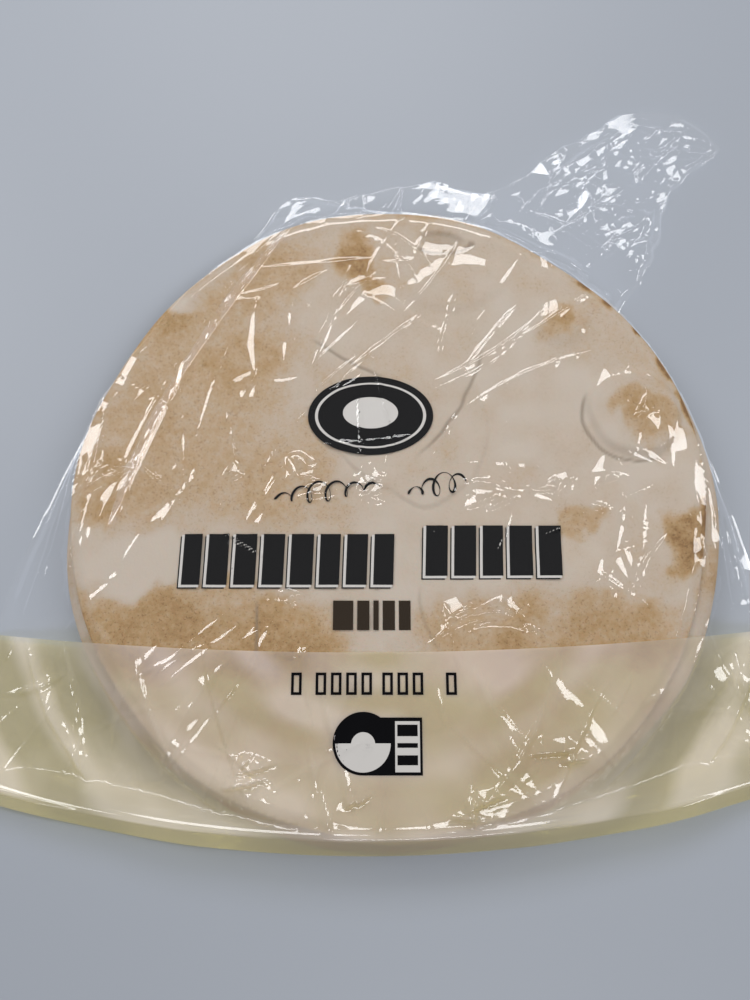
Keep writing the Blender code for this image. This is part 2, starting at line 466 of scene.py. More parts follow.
def facets(x, y, pitch, stretch, turn, seed):
    """Crumpled film: flat three-cornered facets that meet at sharp creases, with heights from -1 to 1.

    They are pitch wide, and stretch times as long in the direction turn.
    """
    rng = np.random.default_rng(seed)
    cells = math.ceil(2 * FACET_REACH / FACET_STEP)
    tall, wide = pitch * stretch / FACET_STEP, pitch / FACET_STEP
    down, side = math.ceil(cells / tall) + 3, math.ceil(cells / wide) + 3
    r = (np.arange(down)[:, None] - 1 + rng.uniform(-0.42, 0.42, (down, side))) * tall
    c = (np.arange(side)[None, :] - 1 + rng.uniform(-0.42, 0.42, (down, side))) * wide
    z = rng.uniform(-1.0, 1.0, (down, side))
    flip = rng.random((down, side)) < 0.5
    out = np.zeros((cells, cells))
    for i in range(down - 1):
        for j in range(side - 1):
            q = [(i, j), (i, j + 1), (i + 1, j + 1), (i + 1, j)]
            halves = ((0, 1, 2), (0, 2, 3)) if flip[i, j] else ((0, 1, 3), (1, 2, 3))
            for half in halves:
                lay_facet(out, [(r[q[k]], c[q[k]], z[q[k]]) for k in half])
    along, aside = math.cos(turn), math.sin(turn)
    u = (x * along + y * aside + FACET_REACH) / FACET_STEP
    v = (y * along - x * aside + FACET_REACH) / FACET_STEP
    i, j = np.floor(u).astype(int), np.floor(v).astype(int)
    fu, fv = u - i, v - j
    low = out[i, j] * (1 - fu) + out[i + 1, j] * fu
    high = out[i, j + 1] * (1 - fu) + out[i + 1, j + 1] * fu
    return low * (1 - fv) + high * fv


def lay_facet(out, corners):
    (r0, c0, z0), (r1, c1, z1), (r2, c2, z2) = corners
    rows = slice(max(0, math.floor(min(r0, r1, r2))), min(out.shape[0], math.ceil(max(r0, r1, r2)) + 1))
    columns = slice(max(0, math.floor(min(c0, c1, c2))), min(out.shape[1], math.ceil(max(c0, c1, c2)) + 1))
    area = (r1 - r0) * (c2 - c0) - (r2 - r0) * (c1 - c0)
    if rows.stop <= rows.start or columns.stop <= columns.start or abs(area) < 1e-6:
        return
    pr = np.arange(rows.start, rows.stop)[:, None]
    pc = np.arange(columns.start, columns.stop)[None, :]
    b = ((pr - r0) * (c2 - c0) - (r2 - r0) * (pc - c0)) / area
    c = ((r1 - r0) * (pc - c0) - (pr - r0) * (c1 - c0)) / area
    inside = (b >= -1e-6) & (c >= -1e-6) & (b + c <= 1.0 + 1e-6)
    window = out[rows, columns]
    window[inside] = (z0 + b * (z1 - z0) + c * (z2 - z0))[inside]


def crease(x, y, ragged, start, end, tall, steep, gentle, bow=0.0):
    """One long crease: a ridge with two flat sides, each as wide as given, that narrows to a point at its ends."""
    along, aside = beside_line(x, y, start, end, bow)
    size = ragged * np.clip((along + 0.02) / 0.35, 0.0, 1.0) * np.clip((1.02 - along) / 0.35, 0.0, 1.0) + 1e-6
    reach = np.where(aside > 0.0, steep, gentle) * size
    return tall * size * np.clip(1.0 - np.abs(aside) / reach, 0.0, 1.0)


# Patches where the film is crumpled hardest: (centre, radius, height)
CRUMPLED = (
    ((-7.0, 8.0), 14.0, 0.25),
    ((-30.0, 15.0), 10.0, 0.25),
    ((40.0, 7.0), 13.0, 0.25),
    ((68.0, 10.0), 9.0, 0.5),
    ((85.0, 13.0), 8.0, 0.5),
    ((-117.0, 42.0), 13.0, 1.3),
    ((-106.0, 64.0), 11.0, 1.2),
    ((119.0, -2.0), 9.0, 1.0),
    ((121.0, -24.0), 9.0, 1.0),
    ((-108.0, 14.0), 13.0, 1.3),
    ((-90.0, 2.0), 12.0, 1.2),
    ((20.0, -40.0), 11.0, 0.5),
    ((42.0, -40.0), 11.0, 0.5),
    ((-50.0, -4.0), 10.0, 0.8),
    ((-50.0, -96.0), 15.0, 1.5),
    ((-12.0, -106.0), 9.0, 1.1),
    ((32.0, -108.0), 13.0, 1.5),
    ((62.0, -87.0), 18.0, 1.4),
    ((88.0, -16.0), 9.0, 0.9),
    ((-50.0, 50.0), 12.0, 0.9),
    ((-36.0, 116.0), 12.0, 1.0),
    ((8.0, 122.0), 14.0, 0.9),
    ((46.0, 118.0), 12.0, 0.9),
    ((102.0, 38.0), 12.0, 0.8),
    ((-128.0, -70.0), 20.0, 1.6),
    ((126.0, -72.0), 20.0, 1.6),
    ((-34.0, 137.0), 12.0, 1.3),
    ((-6.0, 141.0), 12.0, 1.3),
    ((22.0, 143.0), 12.0, 1.3),
    ((46.0, 136.0), 12.0, 1.2),
    ((62.0, 122.0), 14.0, 1.3),
    ((78.0, 110.0), 12.0, 1.3),
    ((94.0, 96.0), 9.0, 1.2),
    ((-124.0, -14.0), 14.0, 1.2),
    ((130.0, -20.0), 12.0, 1.2),
)

# Long creases: (start, end, height, width of one side, width of the other, bow)
CREASES = (
    ((-38.0, 126.0), (-71.0, 78.0), 0.6, 1.4, 1.0, 1.0),
    ((-68.0, 84.0), (-105.0, -8.0), 0.6, 1.4, 1.0, 2.0),
    ((-46.0, 122.0), (-78.0, 74.0), 0.6, 1.0, 1.4, 1.0),
    ((-74.0, 82.0), (-112.0, -8.0), 0.6, 1.0, 1.4, 3.0),
    ((-53.0, 92.0), (-52.0, 50.0), 1.0, 3.0, 1.2, 1.0),
    ((-38.0, 98.0), (-43.0, 54.0), 0.6, 1.8, 1.0, -1.0),
    ((-14.0, 108.0), (-32.0, 56.0), 0.9, 2.6, 1.2, -1.5),
    ((-50.0, 64.0), (-69.0, 30.0), 0.7, 2.0, 1.0, -2.0),
    ((-16.0, 98.0), (6.0, 82.0), 0.6, 2.0, 1.2, 1.0),
    ((-16.0, 122.0), (14.0, 96.0), 0.5, 1.0, 1.4, -4.0),
    ((-10.0, 124.0), (22.0, 98.0), 0.5, 1.0, 1.4, -5.0),
    ((-60.0, 80.0), (-76.0, 24.0), 0.6, 1.2, 1.8, 1.5),
    ((-11.0, 54.0), (-8.0, 10.0), 0.6, 1.2, 1.8, 1.0),
    ((4.0, 122.0), (8.0, 84.0), 0.5, 1.0, 1.6, 0.5),
    ((30.0, 92.0), (20.0, 58.0), 0.7, 1.2, 2.0, 1.0),
    ((94.0, 101.0), (40.0, 66.0), 0.6, 1.2, 2.0, -3.0),
    ((66.0, 86.0), (12.0, 50.0), 0.8, 1.2, 2.4, -4.0),
    ((58.0, 76.0), (10.0, 46.0), 0.6, 1.4, 1.0, -4.0),
    ((92.0, 68.0), (20.0, 32.0), 0.7, 1.2, 2.4, 6.0),
    ((24.0, 32.0), (-40.0, 26.0), 0.6, 2.0, 1.0, -2.0),
    ((20.0, 20.0), (74.0, 16.0), 0.7, 1.2, 2.2, 1.0),
    ((24.0, 12.0), (66.0, 6.0), 0.6, 2.0, 1.2, -1.0),
    ((-100.0, 22.0), (-40.0, -22.0), 0.9, 1.0, 4.0, 3.0),
    ((108.0, 12.0), (52.0, -14.0), 0.8, 3.5, 1.0, 0.0),
    ((104.0, -6.0), (20.0, 12.0), 0.9, 1.0, 3.5, 4.0),
    ((10.0, -58.0), (62.0, -50.0), 1.7, 1.2, 4.0, -13.0),
    ((24.0, -50.0), (60.0, -52.0), 1.2, 1.0, 2.8, -8.0),
    ((-122.0, 8.0), (-96.0, 20.0), 1.2, 1.0, 4.5, 2.0),
    ((-118.0, -48.0), (-42.0, -122.0), 1.3, 1.2, 5.0, 8.0),
    ((-96.0, -46.0), (-72.0, -104.0), 0.9, 4.0, 1.0, 3.0),
    ((-70.0, -48.0), (-48.0, -112.0), 0.9, 1.0, 4.0, 2.0),
    ((-64.0, -86.0), (-38.0, -104.0), 1.0, 1.0, 3.0, 0.0),
    ((-26.0, -62.0), (-10.0, -116.0), 0.8, 3.0, 1.0, 0.0),
    ((60.0, -66.0), (24.0, -116.0), 1.0, 1.0, 4.0, -4.0),
    ((84.0, -62.0), (58.0, -114.0), 0.9, 3.5, 1.0, 3.0),
    ((126.0, -36.0), (72.0, -110.0), 1.2, 4.5, 1.1, -6.0),
    ((-122.0, 40.0), (-139.0, -34.0), 1.3, 0.9, 3.0, -3.0),
    ((-112.0, 46.0), (-126.0, -40.0), 1.2, 2.5, 0.9, -2.0),
    ((-128.0, 16.0), (-150.0, -60.0), 1.2, 0.9, 3.0, -2.0),
    ((-120.0, -2.0), (-122.0, -44.0), 1.0, 0.9, 2.4, 1.0),
    ((-142.0, -46.0), (-98.0, -116.0), 2.0, 2.0, 5.0, 6.0),
    ((-126.0, -48.0), (-118.0, -110.0), 1.6, 5.0, 2.0, -4.0),
    ((-150.0, -70.0), (-120.0, -60.0), 1.2, 2.0, 2.0, 2.0),
    ((133.0, 6.0), (146.0, -44.0), 1.4, 0.9, 3.0, 2.0),
    ((126.0, 22.0), (136.0, -46.0), 1.2, 2.4, 0.9, 1.0),
    ((146.0, -44.0), (112.0, -106.0), 1.8, 4.0, 1.6, -5.0),
    ((134.0, -50.0), (148.0, -92.0), 1.6, 1.6, 4.0, 3.0),
    ((-58.0, -56.0), (-84.0, -100.0), 1.3, 4.5, 4.5, 3.0),
    ((-84.0, -50.0), (-104.0, -92.0), 1.3, 4.5, 4.5, 3.0),
    ((-8.0, -58.0), (-30.0, -112.0), 1.0, 4.5, 4.5, 2.0),
    ((30.0, -56.0), (58.0, -108.0), 1.0, 4.5, 3.5, 2.0),
    ((56.0, -56.0), (84.0, -96.0), 1.0, 3.5, 4.5, 2.0),
    ((104.0, 60.0), (112.0, 14.0), 0.6, 0.8, 2.4, -2.0),
    ((118.0, 22.0), (121.0, -36.0), 0.5, 0.6, 1.0, -2.0),
    ((88.0, 112.0), (150.0, 172.0), 2.6, 4.0, 7.0, 3.0),
    ((60.0, 140.0), (118.0, 186.0), 2.2, 7.0, 4.0, -3.0),
    ((74.0, 128.0), (140.0, 182.0), 1.4, 2.0, 4.0, 2.0),
    ((60.0, 146.0), (104.0, 164.0), 1.0, 1.4, 3.0, 1.0),
    ((112.0, 172.0), (150.0, 168.0), 1.2, 1.6, 2.6, 0.0),
    ((108.0, 188.0), (152.0, 172.0), 1.2, 1.6, 2.6, 0.0),
    ((120.0, 142.0), (112.0, 112.0), 1.2, 2.6, 2.0, 0.0),
    ((76.0, 158.0), (112.0, 182.0), 0.9, 1.2, 2.0, 0.0),
    ((50.0, 132.0), (92.0, 108.0), 0.9, 1.4, 2.4, 1.0),
    ((62.0, 142.0), (100.0, 118.0), 0.9, 1.4, 2.4, -1.0),
    ((-44.0, 126.0), (-36.0, 146.0), 2.0, 1.2, 3.0, 0.0),
    ((-22.0, 130.0), (-18.0, 148.0), 2.0, 3.0, 1.2, 0.0),
    ((2.0, 132.0), (8.0, 152.0), 2.0, 1.2, 3.0, 0.0),
    ((34.0, 128.0), (50.0, 150.0), 2.4, 1.2, 4.0, 0.0),
)


# Places where the film is bunched into flat-sided creases: (centre, size, slope of the sides that face away),
# and about how tall those can be
BUNCHES = (
    ((-31.0, 10.0), 18.0, 0.32),
    ((-6.0, 8.0), 14.0, 0.33),
    ((39.0, 7.0), 16.0, 0.33),
    ((67.0, 10.0), 11.0, 0.32),
    ((84.0, 14.0), 12.0, 0.31),
    ((-108.0, 15.0), 15.0, 0.31),
    ((-58.0, 16.0), 9.0, 0.31),
    ((-39.0, -35.0), 9.0, 0.42),
    ((25.0, -41.0), 15.0, 0.43),
    ((44.0, -42.0), 15.0, 0.43),
    ((-50.0, -97.0), 15.0, 0.55),
    ((-12.0, -107.0), 9.0, 0.57),
    ((32.0, -109.0), 14.0, 0.57),
    ((62.0, -88.0), 18.0, 0.53),
    ((-14.0, 96.0), 10.0, 0.14),
    ((102.0, 38.0), 9.0, 0.26),
)
BUNCH_TALL = 2.6


def bunched_creases(x, y, ragged, count, seed):
    """A few wide creases at each bunch, of which the tallest shows at each point."""
    rng = np.random.default_rng(seed)
    total = np.zeros_like(x)
    for centre, size, slope in BUNCHES:
        for _ in range(count):
            turn, half = rng.normal(0.2, 0.35), size * rng.uniform(0.35, 0.65)
            mx, my = centre[0] + size * rng.uniform(-0.35, 0.35), centre[1] + size * rng.uniform(-0.3, 0.3)
            dx, dy = half * math.cos(turn), half * math.sin(turn)
            start, end = (mx - dx, my - dy), (mx + dx, my + dy)
            wide = min(size * rng.uniform(0.35, 0.60), BUNCH_TALL / slope)
            tall = wide * slope * rng.uniform(0.85, 1.2)
            total = np.maximum(total, crease(x, y, ragged, start, end, tall, 0.8, wide))
    return total


def random_creases(x, y, ragged, count, seed):
    """Short creases all over, most of them running away from the gathered mouth."""
    rng = np.random.default_rng(seed)
    total = np.zeros_like(x)
    for _ in range(count):
        sx, sy = rng.uniform(-140.0, 145.0), rng.uniform(-118.0, 145.0)
        away = math.atan2(sy - 190.0, sx - 60.0)
        turn = away + rng.normal(0.0, 0.55)
        length = rng.uniform(14.0, 60.0)
        end = (sx + length * math.cos(turn), sy + length * math.sin(turn))
        tall = rng.uniform(0.25, 0.65)
        sides = (rng.uniform(0.9, 1.5), rng.uniform(1.4, 3.0))
        if rng.random() < 0.5:
            sides = sides[::-1]
        total += crease(x, y, ragged, (sx, sy), end, tall, *sides, bow=rng.normal(0.0, 1.2))
    return total


# ---------------------------------------------------------------- film surfaces


def underside(x, y, free):
    """The lower film: flat under the breads, curling up a little towards its free edges."""
    wave = 0.5 + 0.5 * np.sin(x / 13.0 + y / 19.0)
    crinkle = 0.5 + 0.5 * facets(x, y, 12.0, 1.5, 0.6, 120)
    return 0.15 + 2.6 * wave * smooth((free - 5.0) / 26.0) + 1.3 * crinkle * smooth((free - 2.0) / 12.0)


def settled(low, support, free):
    """The upper film pulled tight over what holds it up."""
    rough = np.where(free > 0.0, low + LOOSE_GAP, support)
    small = settle(rough[::COARSE, ::COARSE].copy(), support[::COARSE, ::COARSE], COARSE_ROUNDS, SAG * COARSE**2)
    height = enlarge(small, *rough.shape)
    for border in (np.s_[0], np.s_[-1], np.s_[:, 0], np.s_[:, -1]):
        height[border] = low[border]
    return settle(np.maximum(height, support), support, FINE_ROUNDS, SAG)


def crumpled(x, y, free):
    """What crumples and creases add to the height of the upper film."""
    slack = 0.35 + 0.65 * smooth((free + 6.0) / 14.0)
    tail = smooth((x + y - 195.0) / 40.0)
    crumple = 0.75 * facets(x, y, 17.0, 1.9, 1.25, 101) + 0.22 * facets(x, y, 8.0, 1.6, 1.9, 102)
    crumple += 0.05 * facets(x, y, 4.0, 1.4, 0.8, 103)
    fringe = smooth((free - 1.0) / 7.0)
    crumple += fringe * (0.25 * facets(x, y, 5.0, 1.5, 1.0, 106) + 0.09 * facets(x, y, 2.6, 1.3, 0.3, 107))
    height = 1.25 * (slack + 1.4 * tail) * (crumple + 0.35)

    hard = sum(tall * (1.0 - smooth(spot(x, y, c, (reach, reach)) / 1.1)) for c, reach, tall in CRUMPLED)
    dents = 1.3 * facets(x, y, 11.0, 1.8, 0.9, 111) + 0.60 * facets(x, y, 6.0, 1.5, 1.6, 112)
    height = height + hard * (dents + 0.6)

    ragged = 1.0 + 0.35 * value_noise(x, y, 7.0, 110)
    for start, end, *sizes in CREASES:
        height = height + crease(x, y, ragged, start, end, *sizes)
    return height + random_creases(x, y, ragged, 160, 104) + bunched_creases(x, y, ragged, 3, 114)


def film_surfaces():
    """The layout of the film's grid and the heights of its lower and upper sheets."""
    plan = bag_plan()
    x, y = plan[..., 0], plan[..., 1]
    free = beyond_stack(x, y)
    low = underside(x, y, free)
    support = np.maximum(stack_surface(x, y) + FILM_GAP, low + SHEET_GAP)
    height = np.maximum(settled(low, support, free) + crumpled(x, y, free), support - PRESS)

    rows, columns = np.arange(x.shape[0])[:, None], np.arange(x.shape[1])[None, :]
    edge = np.minimum(np.minimum(rows, rows[::-1]), np.minimum(columns, columns[:, ::-1]))
    wall = FRONT_WALL_TALL * (1.0 - FRONT_WALL_TAPER * (x[0] / LEFT_EDGE[0][1]) ** 2)
    fade = smooth((WALL_ROWS + WALL_FADE_ROWS - rows) / WALL_FADE_ROWS)
    height = np.maximum(height, wall[None, :] * fade)
    height = low + (np.maximum(height, low + 0.3) - low) * smooth(edge / PINNED_CELLS)
    front = wall[None, :] * np.clip(rows / WALL_ROWS, 0.0, 1.0)
    height = np.where(rows < WALL_ROWS, low + front, height)
    return plan, low, height


def grid_normals(points):
    across, back = np.gradient(points, axis=1), np.gradient(points, axis=0)
    normal = np.cross(across, back)
    return normal / np.linalg.norm(normal, axis=2, keepdims=True)


def grid_piece(name, points, normals, rows, material, painted_shade_rows=0):
    """One sheet of film: the grid's rows from the first to the last, with painted shade on the front wall's rows."""
    part = points[rows[0] : rows[1] + 1]
    shade = normals[rows[0] : rows[1] + 1].reshape(-1, 3)
    down, side = part.shape[0] - 1, part.shape[1] - 1
    i, j = np.meshgrid(np.arange(down), np.arange(side), indexing="ij")
    a = (i * (side + 1) + j).ravel()
    faces = np.stack([a, a + 1, a + side + 2, a + side + 1], axis=1)
    piece = add_mesh(name, part.reshape(-1, 3), faces.tolist(), material)
    piece.data.normals_split_custom_set_from_vertices(shade.tolist())
    fold_and_shade = fold_shade(part[..., 0], part[..., 1])
    # Painted shade: the front wall's rows take the darkest, least solid tint
    fold_and_shade[:painted_shade_rows] = 0.0
    add_layer(piece, "fold_and_shade", fold_and_shade.ravel())
    return piece


def fold_shade(x, y):
    """How doubled up the film is, from 0 to 1, which also sets its painted light and shade: soft bands that follow
    the bread's rim.
    """
    reach, turn = np.hypot(x, y), np.arctan2(y, x)
    bands = value_noise(2.2 * reach + 9.0 * turn, 55.0 * turn, 18.0, 91)
    return np.clip(0.5 + 0.75 * bands + 0.30 * value_noise(x, y, 12.0, 92), 0.0, 1.0)


def add_layer(piece, key, values):
    layer = piece.data.attributes.new(key, "FLOAT", "POINT")
    layer.data.foreach_set("value", values.astype(np.float32))


def add_mesh(name, points, faces, material):
    mesh = bpy.data.meshes.new(name)
    mesh.from_pydata((np.asarray(points) * UNIT).tolist(), [], faces)
    mesh.polygons.foreach_set("use_smooth", [True] * len(mesh.polygons))
    mesh.update()
    piece = bpy.data.objects.new(name, mesh)
    bpy.context.scene.collection.objects.link(piece)
    mesh.materials.append(material)
    return piece


def finish_piece(piece):
    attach(piece, "root")
    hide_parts("bag")


# ---------------------------------------------------------------- things that lie on the film


class Surface:
    """The upper film, as something to lay print and the pleat on."""

    def __init__(self, points):
        rows, columns = points.shape[:2]
        i, j = np.meshgrid(np.arange(rows - 1), np.arange(columns - 1), indexing="ij")
        a = (i * columns + j).ravel()
        faces = np.stack([a, a + 1, a + columns + 1, a + columns], axis=1)
        self.tree = BVHTree.FromPolygons(points.reshape(-1, 3).tolist(), faces.tolist())

    def height(self, x, y):
        hit = self.tree.ray_cast(Vector((x, y, 90.0)), Vector((0.0, 0.0, -1.0)))
        return hit[0].z if hit[0] is not None else 0.0


def pleat_piece(surface, material):
    """The flap of film folded over itself that runs down the left of the bread."""
    parts = ([], [])
    stations = [(s, *p) for s, p in zip((0.0, 0.35, 0.7, 1.0), PLEAT)]

    def place(u, v):
        x, y = along_edge(stations, np.array([v]))[0]
        wide = PLEAT_WIDTH * (0.8 + 0.2 * math.sin(9.0 * v)) * (0.15 + 0.85 * math.sin(math.pi * v) ** 0.5)
        return x + wide * (u - 0.5), y - 0.45 * wide * (u - 0.5)

    across, back = 16, 220
    print_patch(parts, surface, across, back, place, 0.25)
    points = np.array(parts[0])
    u = np.tile(np.linspace(-1.0, 1.0, across + 1), back + 1)
    points[:, 2] += 0.9 * np.abs(u) ** 4 + 0.4 * facets(points[:, 0], points[:, 1], 2.6, 2.4, 1.1, 90)
    points[:, 2] = np.maximum(points[:, 2], np.array(parts[0])[:, 2] - 0.1)
    piece = add_mesh("film_pleat", points, parts[1], material)
    # The pleat's fold layer sets its haze and also the painted light and shade of its tint
    add_layer(piece, "fold_and_shade", np.clip(0.5 + 0.8 * value_noise(points[:, 0], points[:, 1], 5.0, 93), 0.0, 1.0))
    return piece


def print_patch(parts, surface, across, back, place, lift):
    """Adds a patch of print: place(u, v) gives its layout position for u and v from 0 to 1."""
    verts, faces = parts
    first = len(verts)
    for v in np.linspace(0.0, 1.0, back + 1):
        for u in np.linspace(0.0, 1.0, across + 1):
            x, y = place(u, v)
            verts.append((x, y, surface.height(x, y) + lift))
    for row in range(back):
        for column in range(across):
            a = first + row * (across + 1) + column
            faces.append((a, a + 1, a + across + 2, a + across + 1))


def slab(parts, surface, x, y, wide, tall, lean, lift):
    """A printed block whose top leans to the right by lean."""

    def place(u, v):
        return x + wide * u + lean * v, y + tall * v

    print_patch(parts, surface, max(2, round(wide * PRINT_CELLS)), max(2, round(tall * PRINT_CELLS)), place, lift)


def ring(parts, surface, centre, inner, outer, start, end, lift, squash=1.0):
    """Part of a printed ring, or of a disc when inner is 0."""

    def place(u, v):
        angle = start + (end - start) * u
        reach = inner + (outer - inner) * v
        return centre[0] + reach * math.cos(angle), centre[1] + squash * reach * math.sin(angle)

    steps = max(12, round(abs(end - start) * outer * PRINT_CELLS))
    print_patch(parts, surface, steps, max(1, round((outer - inner) * PRINT_CELLS)), place, lift)


def line(parts, surface, path, wide, steps, lift):
    """A thin printed line along path(u), of uneven width like a pen's."""

    def place(u, v):
        (x, y), (x2, y2) = path(u), path(u + 0.001)
        length = math.hypot(x2 - x, y2 - y)
        side = wide * (v - 0.5) * (0.6 + 0.4 * math.sin(37.0 * u))
        return x - side * (y2 - y) / length, y + side * (x2 - x) / length

    print_patch(parts, surface, steps, 1, place, lift)


def loops(start, end, turns, tall):
    """A pen stroke of plain loops from start to end, as path(u) for u from 0 to 1."""

    def path(u):
        turn = 2.0 * math.pi * turns * u
        fade = math.sin(math.pi * (0.06 + 0.88 * u)) * (0.75 + 0.25 * math.sin(5.0 * u + turns))
        x = start[0] + (end[0] - start[0]) * u - 0.62 * tall * fade * math.sin(turn)
        return x, start[1] + (end[1] - start[1]) * u - tall * fade * math.cos(turn)

    return path


def row_of_slabs(parts, surface, x, y, widths, gap, tall, lean, lift, grow=0.0):
    for wide in widths:
        slab(parts, surface, x - grow, y - grow, wide + 2.0 * grow, tall + 2.0 * grow, lean, lift)
        x += wide + gap


def frame_of_lines(parts, surface, x, y, wide, tall, stroke, lift):
    """An upright printed rectangle, open inside."""
    for sx, sy, w, t in (
        (x, y, wide, stroke),
        (x, y + tall - stroke, wide, stroke),
        (x, y + stroke, stroke, tall - 2.0 * stroke),
        (x + wide - stroke, y + stroke, stroke, tall - 2.0 * stroke),
    ):
        slab(parts, surface, sx, sy, w, t, 0.0, lift)


def add_print(surface, black, white, brown):
    ink, pale, dark = ([], []), ([], []), ([], [])
    turn = 2.0 * math.pi
    ring(ink, surface, (-6.5, 38.5), 0.0, 25.0, 0.0, turn, INK_DEPTH, squash=0.66)
    ring(pale, surface, (-6.5, 38.5), 21.0, 22.2, 0.0, turn, PALE_DEPTH, squash=0.62)
    ring(pale, surface, (-6.5, 39.5), 0.0, 11.0, 0.0, turn, PALE_DEPTH, squash=0.6)

    line(ink, surface, loops((-44.0, 5.0), (-2.0, 10.0), 6, 4.2), 1.0, 260, INK_DEPTH)
    line(ink, surface, loops((8.0, 7.0), (31.0, 12.5), 4, 5.2), 1.0, 190, INK_DEPTH)

    words = (
        (-78.5, (7.0, 7.8, 8.2, 8.2, 8.6, 7.8, 8.0, 7.6), -29.0),
        (14.5, (8.4, 8.4, 7.8, 8.8, 8.6), -25.6),
    )
    for x, widths, y in words:
        row_of_slabs(ink, surface, x - 1.3, y - 1.2, widths, 2.5, 19.5, 0.6, INK_DEPTH, grow=0.25)
        row_of_slabs(pale, surface, x - 0.7, y - 0.6, widths, 2.5, 19.5, 0.6, PALE_DEPTH, grow=0.35)
        row_of_slabs(ink, surface, x, y, widths, 2.5, 19.5, 0.6, TOP_INK_DEPTH)

    row_of_slabs(dark, surface, -20.5, -46.0, (7.6, 4.6, 2.0, 4.6, 4.4), 1.5, 11.0, 0.0, INK_DEPTH)

    for x, places in ((-35.5, 1), (-26.5, 4), (-2.0, 3), (21.5, 1)):
        for k in range(places):
            frame_of_lines(ink, surface, x + 5.6 * k, -69.5, 3.9, 8.0, 1.0, BAND_PRINT_LIFT)

    ring(ink, surface, (-9.0, -86.5), 0.0, 11.0, 0.0, turn, BAND_PRINT_LIFT)
    slab(ink, surface, -9.0, -97.5, 21.5, 20.0, 0.0, BAND_PRINT_LIFT)
    ring(pale, surface, (-9.0, -86.5), 0.0, 10.0, math.pi, turn, BAND_PRINT_LIFT + BAND_PRINT_STEP)
    ring(pale, surface, (-9.0, -87.0), 0.0, 4.4, 0.0, turn, BAND_PRINT_LIFT + BAND_PRINT_STEP)
    slab(pale, surface, 2.6, -96.4, 9.0, 17.6, 0.0, BAND_PRINT_LIFT + BAND_PRINT_STEP)
    for y, tall in ((-84.0, 4.0), (-88.0, 1.6), (-94.0, 3.4)):
        slab(ink, surface, 3.4, y, 7.4, tall, 0.0, BAND_PRINT_LIFT + 2.0 * BAND_PRINT_STEP)

    for name, (verts, faces), material in (
        ("print_black", ink, black),
        ("print_pale", pale, white),
        ("print_brown", dark, brown),
    ):
        finish_piece(add_mesh(name, verts, faces, material))


# ---------------------------------------------------------------- materials


def new_material(name):
    material = bpy.data.materials.new(name)
    material.use_nodes = True
    nodes = material.node_tree.nodes
    nodes.clear()
    return material, nodes, material.node_tree.links


def bread_material(name, seed):
    """Pale crumb that turns tan and then brown where it is toasted, with fine burnt specks, and painted shadow along
    the skin edges and in the hollow.
    """
    material, nodes, links = new_material(name)
    out = nodes.new("ShaderNodeOutputMaterial")
    shader = nodes.new("ShaderNodeBsdfPrincipled")
    shader.inputs["Roughness"].default_value = 0.72
    shader.inputs["Specular IOR Level"].default_value = 0.25
    shader.inputs["Subsurface Weight"].default_value = 0.12
    shader.inputs["Subsurface Scale"].default_value = 0.002
    place = nodes.new("ShaderNodeTexCoord")
    toast = nodes.new("ShaderNodeAttribute")
    toast.attribute_name = "toast"

    def noise(scale, detail, rough):
        node = nodes.new("ShaderNodeTexNoise")
        node.noise_dimensions = "4D"
        node.inputs["W"].default_value = seed
        node.inputs["Scale"].default_value = scale
        node.inputs["Detail"].default_value = detail
        node.inputs["Roughness"].default_value = rough
        links.new(place.outputs["Object"], node.inputs["Vector"])
        return node.outputs["Fac"]

    def math_node(operation, a, b, clamp=False):
        node = nodes.new("ShaderNodeMath")
        node.operation = operation
        node.use_clamp = clamp
        for k, value in enumerate((a, b)):
            if isinstance(value, float):
                node.inputs[k].default_value = value
            else:
                links.new(value, node.inputs[k])
        return node.outputs[0]

    speckle = math_node("SUBTRACT", noise(420.0, 3.0, 0.7), 0.5)
    weight = math_node("ADD", math_node("MULTIPLY", toast.outputs["Fac"], 1.2), 0.10)
    mixed = math_node("ADD", toast.outputs["Fac"], math_node("MULTIPLY", speckle, weight), clamp=True)
    ramp = nodes.new("ShaderNodeValToRGB")
    stops = (
        (0.00, (0.540, 0.468, 0.398)),
        (0.18, (0.508, 0.420, 0.336)),
        (0.40, (0.472, 0.345, 0.222)),
        (0.62, (0.415, 0.275, 0.138)),
        (0.82, (0.340, 0.208, 0.092)),
        (1.00, (0.230, 0.125, 0.050)),
    )
    while len(ramp.color_ramp.elements) < len(stops):
        ramp.color_ramp.elements.new(0.5)
    for element, (at, color) in zip(ramp.color_ramp.elements, stops):
        element.position = at
        element.color = (*color, 1.0)
    links.new(mixed, ramp.inputs["Fac"])

    speck = math_node("MULTIPLY", math_node("SUBTRACT", noise(1100.0, 1.0, 0.5), 0.585), 9.0, clamp=True)
    burnt = nodes.new("ShaderNodeMix")
    burnt.data_type = "RGBA"
    burnt.inputs["B"].default_value = (0.20, 0.11, 0.045, 1.0)
    links.new(math_node("MULTIPLY", speck, math_node("MULTIPLY", toast.outputs["Fac"], 0.9)), burnt.inputs["Factor"])
    links.new(ramp.outputs["Color"], burnt.inputs["A"])

    # Painted shadow: the seam layer darkens the crust towards the shade colour below
    seam_shadow = nodes.new("ShaderNodeAttribute")
    seam_shadow.attribute_name = "seam_shadow"
    shade = nodes.new("ShaderNodeMix")
    shade.data_type = "RGBA"
    shade.inputs["B"].default_value = (0.20, 0.155, 0.115, 1.0)
    links.new(math_node("MULTIPLY", seam_shadow.outputs["Fac"], 0.8, clamp=True), shade.inputs["Factor"])
    links.new(burnt.outputs["Result"], shade.inputs["A"])
    links.new(shade.outputs["Result"], shader.inputs["Base Color"])

    bump = nodes.new("ShaderNodeBump")
    bump.inputs["Strength"].default_value = 0.25
    bump.inputs["Distance"].default_value = 0.0003
    links.new(noise(900.0, 1.0, 0.6), bump.inputs["Height"])
    links.new(bump.outputs["Normal"], shader.inputs["Normal"])
    links.new(shader.outputs["BSDF"], out.inputs["Surface"])
    return material


